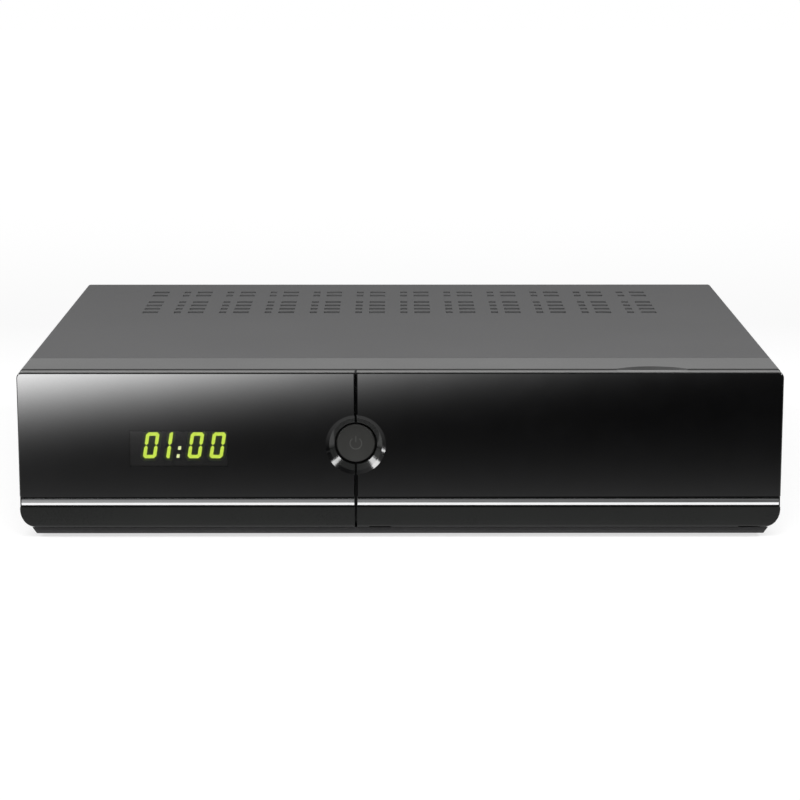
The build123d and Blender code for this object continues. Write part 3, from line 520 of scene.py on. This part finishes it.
def addFigures(shape, grow, front, back):
    look = displayLook
    halo = grow > 0
    arch = filledOutline(grow, 0) if halo else archOutline(0, look["gap"])
    for x in look["zeros"]:
        addFigure(shape, arch, x, grow, front, back)
    addFigure(shape, barOutline(grow, 0 if halo else look["gap"]), look["one"], grow, front, back)


def addDots(shape, front, back):
    width, height = displayLook["dotSize"]
    lean = math.tan(math.radians(displayLook["slant"])) * height / 2
    for x, z in displayLook["dots"]:
        addPrism(shape, rectangle(x, z, width, height, lean), front, back)


def glowMaterial(name, colour, strength):
    # light that is a little uneven over each bar
    material = bpy.data.materials.new(name)
    material.use_nodes = True
    tree = material.node_tree
    shader = tree.nodes["Principled BSDF"]
    place = addNode(tree, "ShaderNodeTexCoord").outputs["Object"]
    level = mapRange(tree, noise(tree, place, 1.5 * mm), 0.3, 0.7, strength * 0.9, strength * 1.1)
    feed(tree, shader, Base_Color=(*(channel * 0.3 for channel in colour), 1), Roughness=0.5)
    feed(tree, shader, Emission_Color=(*colour, 1), Emission_Strength=level)
    return material


filterLook = {"x": -87.0, "z": 36.5, "size": (39.4, 14.4), "back": -112.42, "corner": 0.8}


def addFilter(shape):
    # dark block in the opening that brings the figures up behind the glass
    width, height = filterLook["size"]
    cut = filterLook["corner"]
    points = []
    for sx, sz, order in ((-1, -1, 1), (1, -1, -1), (1, 1, 1), (-1, 1, -1)):
        x, z = filterLook["x"] + sx * width / 2, filterLook["z"] + sz * height / 2
        points += [(x, z - sz * cut), (x - sx * cut, z)][::order]
    addPrism(shape, points, displayLook["face"], filterLook["back"])


def addDisplay():
    # the block, the two halos on it, then the figures and dots in front of them
    look = displayLook
    face = look["face"]
    front, back = face - look["figureFront"], face - look["figureBack"]
    pieceFrom("displayFilter", "case", materials["glossBlack"], addFilter)
    for n, (grow, strength) in enumerate(look["halos"]):
        depths = (face - look["haloFront"] + look["haloStep"] * n, face - look["haloBack"])
        halo = glowMaterial(f"haloGreen{n + 1}", look["haloColour"], strength)
        pieceFrom(f"displayHalo{n + 1}", "case", halo,
                  lambda shape: addFigures(shape, grow, *depths))
    lime = glowMaterial("figureLime", look["colour"], look["strength"])
    pieceFrom("displayFigures", "case", lime,
              lambda shape: addFigures(shape, 0, front, back))
    pale = glowMaterial("dotLime", look["dotColour"], look["strength"])
    pieceFrom("displayDots", "case", pale, lambda shape: addDots(shape, front, back))


addDisplay()

# standby sign on the button, and arrows on the two keys behind the flap
signLook = {
    "x": -17.5, "z": 38.0, "face": -116.8, "rise": 0.03,
    "radius": 2.3, "stroke": 0.42, "opening": 36, "steps": 36, "barUp": 0.75, "barLength": 1.1,
}
arrowLook = {"face": -107.0, "rise": 0.03, "size": 1.5, "z": 36.0, "base": 0.6, "xs": (8.0, 24.0)}


def addSign(shape):
    look = signLook
    steps, span = look["steps"], 360 - 2 * look["opening"]
    turns = [math.radians(90 + look["opening"] + n * span / steps) for n in range(steps + 1)]
    rims = []
    for r in (look["radius"] - look["stroke"] / 2, look["radius"] + look["stroke"] / 2):
        rims.append([(look["x"] + r * math.cos(turn), look["z"] + r * math.sin(turn)) for turn in turns])
    middle, length = look["z"] + look["radius"] * look["barUp"], look["radius"] * look["barLength"]
    bar = rectangle(look["x"], middle, look["stroke"], length)
    for outline in (rims[0] + rims[1][::-1], bar):
        addPrism(shape, outline, look["face"] - look["rise"], look["face"])


def addArrow(shape, x, way):
    look = arrowLook
    base, tip = look["z"] - way * look["size"] * look["base"], look["z"] + way * look["size"]
    points = [(x - look["size"], base), (x + look["size"], base), (x, tip)]
    addPrism(shape, points, look["face"] - look["rise"], look["face"])


markGrey = finishMaterial("markGrey", {**finishes["buttonFace"], "colour": (0.075, 0.075, 0.072)})
markPale = finishMaterial("markPale", {**finishes["buttonFace"], "colour": (0.5, 0.5, 0.48)})
pieceFrom("standbySign", "power_button", markGrey, addSign)
pieceFrom("downArrow", "channel_down_key", markPale,
          lambda shape: addArrow(shape, arrowLook["xs"][0], -1))
pieceFrom("upArrow", "channel_up_key", markPale,
          lambda shape: addArrow(shape, arrowLook["xs"][1], 1))
print("front details made")

# colour rings and insulators of the phono sockets
phonoLook = {
    "x": 27.0, "z": 23.1, "pitch": 9.6, "rise": 5.8, "collar": (4.17, 4.75), "collarDepth": (110.8, 112.8),
    "insulator": (1.75, 3.25), "insulatorDepth": (119.1, 119.24), "edge": 0.15,
    "rows": (("yellow", "white", "red"), ("green", "blue", "red")),
    "colours": {"yellow": (0.75, 0.50, 0.02), "white": (0.72, 0.72, 0.70), "red": (0.50, 0.012, 0.012),
                "green": (0.02, 0.25, 0.05), "blue": (0.012, 0.06, 0.38)},
}


def addRing(shape, x, z, radii, depths):
    inner, outer = radii
    low, high = depths
    edge = phonoLook["edge"]
    profile = [(inner, low), (outer, low), (outer, high - edge), (outer - edge, high), (inner, high)]
    addTurned(shape, x, z, profile)


def addPhonoRings(shape, colour):
    look = phonoLook
    for row, names in enumerate(look["rows"]):
        for n, name in enumerate(names):
            if name == colour:
                x = look["x"] + look["pitch"] * (n - 1)
                z = look["z"] + look["rise"] * (2 * row - 1)
                addRing(shape, x, z, look["collar"], look["collarDepth"])
                addRing(shape, x, z, look["insulator"], look["insulatorDepth"])


for colour, value in phonoLook["colours"].items():
    look = {**finishes["mouldedBlack"], "colour": value, "colourShift": 0.06, "specular": 0.5}
    plastic = finishMaterial(colour + "Plastic", look)
    pieceFrom("phono" + colour.capitalize(), "case", plastic,
              lambda shape: addPhonoRings(shape, colour))

# contact slots as thin near-black sheets, painted shade where the holes are, with their leaves in both
# video sockets
scartLook = {
    "x": -15.5, "zs": (19.7, 35.7), "pitch": 3.5, "rise": 1.35, "count": 10, "face": 112.6,
    "slot": (1.5, 1.9), "slotRise": 0.02, "leaf": (0.7, 1.5), "leafRise": 0.05,
}


def addScartRows(shape, size, rise):
    look = scartLook
    for middle in look["zs"]:
        for row in (-1, 1):
            for n in range(look["count"]):
                x = look["x"] + look["pitch"] * (n - (look["count"] - 1) / 2) + row * look["pitch"] / 4
                outline = rectangle(x, middle + row * look["rise"], *size)
                addPrism(shape, outline, look["face"], look["face"] + rise)


# painted shade: a near-black sheet over each contact hole stands in for the shade inside it
paintedSlotShade = finishMaterial("paintedSlotShade", {**finishes["darkPackage"], "colour": (0.004, 0.004, 0.004)})
pieceFrom("scartSlots", "case", paintedSlotShade,
          lambda shape: addScartRows(shape, scartLook["slot"], scartLook["slotRise"]))
pieceFrom("scartLeaves", "case", materials["platedBrass"],
          lambda shape: addScartRows(shape, scartLook["leaf"], scartLook["leafRise"]))

# spring wires in the network socket and the two pins of the mains inlet
networkLook = {
    "x": 83.5, "pitch": 1.02, "wires": 8, "thick": 0.4, "tail": 1.0, "tip": 0.3,
    "path": ((109.2, 21.35), (101.0, 19.2)),
}
pinLook = {
    "x": -118.0, "z": 22.5, "apart": 6.8, "radius": 1.18, "depths": (97.8, 108.75), "sides": 24,
    "tipLength": 0.8, "tipRadius": 0.75, "tipRound": 0.2,
}


def addNetworkWires(shape):
    look = networkLook
    (y1, z1), (y2, z2) = look["path"]
    thick, tail = look["thick"], look["tail"]
    outline = [(y1, z1), (y2, z2), (y2 - tail, z2), (y2 - tail, z2 + thick)]
    outline += [(y2, z2 + thick), (y1, z1 + thick * look["tip"])]
    for n in range(look["wires"]):
        x = look["x"] + look["pitch"] * (n - (look["wires"] - 1) / 2)
        addPrism(shape, outline, x - thick / 2, x + thick / 2, "X")


def addMainsPins(shape):
    look = pinLook
    low, high = look["depths"]
    radius = look["radius"]
    shoulder = (radius, high - look["tipLength"])
    rim = (radius * look["tipRadius"], high - look["tipRound"])
    profile = [(0, low), (radius, low), shoulder, rim, (0, high)]
    for side in (-1, 1):
        x = look["x"] + side * look["apart"] / 2
        addTurned(shape, x, look["z"], profile, look["sides"], closed=False)


def addThreads(shape):
    # ridges round both aerial barrels
    look = threadLook
    profile = [(look["inside"], look["from"]), (look["root"], look["from"])]
    for n in range(look["ridges"]):
        start = look["from"] + look["pitch"] * n
        profile += [(look["crest"], start + look["pitch"] / 2), (look["root"], start + look["pitch"])]
    profile.append((look["inside"], look["from"] + look["pitch"] * look["ridges"]))
    for z in look["z"]:
        addTurned(shape, look["x"], z, profile)


pieceFrom("networkWires", "case", materials["platedBrass"], addNetworkWires)
pieceFrom("mainsPins", "case", materials["platedSteel"], addMainsPins)
pieceFrom("aerialThreads", "case", materials["platedSteel"], addThreads)
print("rear details made")

# slightly broken edges, in mm, where a moulded or pressed piece has them
softEdges = {
    "power_button": 0.12, "mains_rocker": 0.3, "rocker_housing": 0.3, "mains_inlet": 0.3,
    "phono_block": 0.2, "optical_port": 0.2, "network_socket": 0.2, "hdmi_socket": 0.15,
    "tuner_can": 0.3, "transformer": 0.3, "scart_shells": 0.15, "line_choke": 0.2,
}
edgeRules = {"join": 0.00001, "segments": 2, "angle": 40}
for name, width in softEdges.items():
    nodes[name].modifiers.new("joined", "WELD").merge_threshold = edgeRules["join"]
    bevel = nodes[name].modifiers.new("softEdge", "BEVEL")
    bevel.width = width * mm
    bevel.segments = edgeRules["segments"]
    bevel.limit_method = "ANGLE"
    bevel.angle_limit = math.radians(edgeRules["angle"])
    bevel.harden_normals = True
print("edges softened:", len(softEdges))

floorLook = {
    "size": 8.0, "pale": 0.38, "dark": 0.015, "roughness": 0.9, "speck": 0.004, "specks": (0.97, 1.03),
    "front": -0.145, "frontLength": 0.06, "side": 0.3, "back": 0.4, "length": 0.2,
    "whiteLevel": 1.02, "litLevel": 0.95, "covered": (138, 102), "coveredBlur": 8,
}


def buildFloor():
    # pale paper whose colour is painted darker with distance, a painted shade for the dim studio beyond
    # it, and which stays white to the camera
    mesh = bpy.data.meshes.new("studioFloor")
    shape = bmesh.new()
    bmesh.ops.create_grid(shape, x_segments=8, y_segments=8, size=floorLook["size"] / 2)
    shape.to_mesh(mesh)
    shape.free()
    floor = bpy.data.objects.new("studioFloor", mesh)
    bpy.context.scene.collection.objects.link(floor)
    material = bpy.data.materials.new("floorPaper")
    material.use_nodes = True
    tree = material.node_tree
    shader = tree.nodes["Principled BSDF"]
    place = addNode(tree, "ShaderNodeTexCoord").outputs["Object"]
    x, y, _ = offsets(tree, 0, 0, 0)
    ahead = calculate(tree, "SUBTRACT", floorLook["front"], y)
    ahead = calculate(tree, "DIVIDE", ahead, floorLook["frontLength"])
    aside = calculate(tree, "SUBTRACT", calculate(tree, "ABSOLUTE", x), floorLook["side"])
    outward = calculate(tree, "MAXIMUM", aside, calculate(tree, "SUBTRACT", y, floorLook["back"]))
    outward = calculate(tree, "DIVIDE", outward, floorLook["length"])
    fade = calculate(tree, "MAXIMUM", calculate(tree, "MAXIMUM", ahead, outward), 0.0)
    # painted shade: the paper's colour and its glow in reflections fall off with distance from the object
    paintedFalloff = calculate(tree, "EXPONENT", calculate(tree, "MULTIPLY", fade, -1.0))
    grey = mapRange(tree, paintedFalloff, 0, 1, floorLook["dark"], floorLook["pale"])
    specks = mapRange(tree, noise(tree, place, floorLook["speck"], 3.0), 0, 1, *floorLook["specks"])
    grey = calculate(tree, "MULTIPLY", grey, specks)
    paper = mixColour(tree, grey, (0, 0, 0), (1, 1, 1))
    feed(tree, shader, Base_Color=paper, Roughness=floorLook["roughness"])
    shader.inputs["Specular IOR Level"].default_value = 0.0
    path = addNode(tree, "ShaderNodeLightPath")
    seen = calculate(tree, "MAXIMUM", path.outputs["Is Camera Ray"], path.outputs["Is Transmission Ray"])
    mirrored = calculate(tree, "MULTIPLY", path.outputs["Is Glossy Ray"], paintedFalloff)
    level = calculate(tree, "MAXIMUM", seen, mirrored)
    level = calculate(tree, "MULTIPLY", level, floorLook["whiteLevel"])
    known = calculate(tree, "MAXIMUM", seen, path.outputs["Is Glossy Ray"])
    lit = calculate(tree, "MULTIPLY", calculate(tree, "MULTIPLY", grey, floorLook["litLevel"]), known)
    halves = zip((x, y), floorLook["covered"])
    covered = every(tree, *[within(tree, side, size, floorLook["coveredBlur"]) for side, size in halves])
    glow = calculate(tree, "MAXIMUM", calculate(tree, "SUBTRACT", level, lit), 0.0)
    glow = calculate(tree, "MULTIPLY", glow, calculate(tree, "SUBTRACT", 1.0, covered))
    feed(tree, shader, Emission_Color=(1, 1, 1, 1), Emission_Strength=glow)
    mesh.materials.append(material)


worldLook = {
    "behind": 0.62, "frontLeft": 0.45, "frontRight": 0.10, "above": 0.15,
    "leftToRight": (-0.2, 0.14), "frontToBack": (-0.6, 0.6), "upward": (0.5, 1.0),
}


def buildWorld():
    # a soft studio, lightest behind, darker at the front right and above, white where the camera sees it
    world = bpy.data.worlds.new("studioWorld")
    bpy.context.scene.world = world
    world.use_nodes = True
    tree = world.node_tree
    background = tree.nodes["Background"]
    axes = addNode(tree, "ShaderNodeSeparateXYZ")
    feed(tree, axes, Vector=addNode(tree, "ShaderNodeTexCoord").outputs["Generated"])
    look = worldLook
    x, y, z = (axes.outputs[name] for name in "XYZ")
    front = mapRange(tree, x, *look["leftToRight"], look["frontLeft"], look["frontRight"])
    toBack = mapRange(tree, y, *look["frontToBack"], 0, 1, True)
    upward = mapRange(tree, z, *look["upward"], 0, 1, True)
    change = calculate(tree, "SUBTRACT", look["behind"], front)
    level = calculate(tree, "MULTIPLY_ADD", toBack, change, front)
    change = calculate(tree, "SUBTRACT", look["above"], level)
    level = calculate(tree, "MULTIPLY_ADD", upward, change, level)
    path = addNode(tree, "ShaderNodeLightPath")
    seen = calculate(tree, "MAXIMUM", path.outputs["Is Camera Ray"], path.outputs["Is Transmission Ray"])
    feed(tree, background, Color=(1, 1, 1, 1), Strength=calculate(tree, "MAXIMUM", seen, level))


softboxes = {
    "leftSoftbox": {
        "place": (-0.82, -0.30, 0.66), "target": (0, -0.02, 0.03), "size": (0.34, 0.34), "power": 3.5,
    },
    "rightSoftbox": {
        "place": (0.82, -0.30, 0.66), "target": (0, -0.02, 0.03), "size": (0.34, 0.34), "power": 4.0,
    },
    "topSoftbox": {
        "place": (0, -0.50, 0.58), "target": (0, -0.05, 0.03), "size": (0.9, 0.45), "power": 5.5,
        "mirrored": False,
    },
}
# two small lamps that only the panels and the dish see
glints = {
    "leftGlint": {
        "place": (0.40, -0.87, 0.27), "target": (-0.02, -0.12, 0.03), "size": (0.10, 0.20), "power": 1.0,
    },
    "rightGlint": {
        "place": (-0.44, -0.87, 0.27), "target": (-0.02, -0.12, 0.03), "size": (0.17, 0.20), "power": 1.9,
    },
}
panelGlow = {
    "place": (-0.1, -0.60), "height": 0.002, "size": (0.95, 0.68), "turn": -33.0, "radiance": 27.0,
    "peak": (-0.5, -0.3354), "spread": (0.7039, 0.1017), "slope": -0.6674,
}


def addSoftbox(name, look):
    lamp = bpy.data.lights.new(name, "AREA")
    lamp.shape = "RECTANGLE"
    lamp.size, lamp.size_y = look["size"]
    lamp.energy = look["power"]
    holder = bpy.data.objects.new(name, lamp)
    bpy.context.scene.collection.objects.link(holder)
    holder.location = look["place"]
    way = Vector(look["target"]) - Vector(look["place"])
    holder.rotation_euler = way.to_track_quat("-Z", "Y").to_euler()
    holder.visible_camera = False
    holder.visible_glossy = look.get("mirrored", True)
    return holder


def lightOnly(holder, *names):
    lit = bpy.data.collections.new(holder.name + "Receivers")
    for name in names:
        lit.objects.link(nodes[name])
    holder.light_linking.receiver_collection = lit


def addPanelGlow(look):
    # a low softbox in front, seen only as the soft gradient in the gloss panels
    lamp = bpy.data.lights.new("panelGlow", "AREA")
    lamp.shape = "RECTANGLE"
    lamp.size, lamp.size_y = look["size"]
    lamp.energy = look["radiance"] * math.pi * look["size"][0] * look["size"][1]
    lamp.use_nodes = True
    tree = lamp.node_tree
    axes = addNode(tree, "ShaderNodeSeparateXYZ")
    feed(tree, axes, Vector=addNode(tree, "ShaderNodeNewGeometry").outputs["Position"])
    x = calculate(tree, "SUBTRACT", axes.outputs["X"], look["peak"][0])
    y = calculate(tree, "SUBTRACT", axes.outputs["Y"], look["peak"][1])
    y = calculate(tree, "MULTIPLY_ADD", x, -look["slope"], y)
    pairs = zip((x, y), look["spread"])
    steps = [calculate(tree, "DIVIDE", offset, spread) for offset, spread in pairs]
    total = calculate(tree, "ADD", *[calculate(tree, "MULTIPLY", step, step) for step in steps])
    bell = calculate(tree, "EXPONENT", calculate(tree, "MULTIPLY", total, -0.5))
    feed(tree, tree.nodes["Emission"], Strength=bell)
    holder = bpy.data.objects.new("panelGlow", lamp)
    bpy.context.scene.collection.objects.link(holder)
    holder.location = (*look["place"], look["height"])
    holder.rotation_euler = (math.pi, 0, math.radians(look["turn"]))
    holder.visible_camera = False
    lightOnly(holder, "window_left", "flap_plate")


cameraLook = {
    "place": (-2.095 * mm, -1089.57 * mm, 246.10 * mm), "down": 11.092, "toRight": 0.117,
    "lens": 113.65, "sensor": 36, "clip": (0.05, 30),
}


def buildCamera():
    camera = bpy.data.cameras.new("frontCamera")
    camera.lens = cameraLook["lens"]
    camera.sensor_width = cameraLook["sensor"]
    camera.clip_start, camera.clip_end = cameraLook["clip"]
    holder = bpy.data.objects.new("frontCamera", camera)
    bpy.context.scene.collection.objects.link(holder)
    holder.location = cameraLook["place"]
    tilt, turn = math.radians(90 - cameraLook["down"]), math.radians(-cameraLook["toRight"])
    holder.rotation_euler = (tilt, 0, turn)
    bpy.context.scene.camera = holder


buildFloor()
buildWorld()
for name, look in softboxes.items():
    addSoftbox(name, look)
for name, look in glints.items():
    lightOnly(addSoftbox(name, look), "window_left", "flap_plate", "bezel_left", "flap_door")
addPanelGlow(panelGlow)
buildCamera()
bpy.context.scene.view_settings.view_transform = "Standard"
print("studio ready")
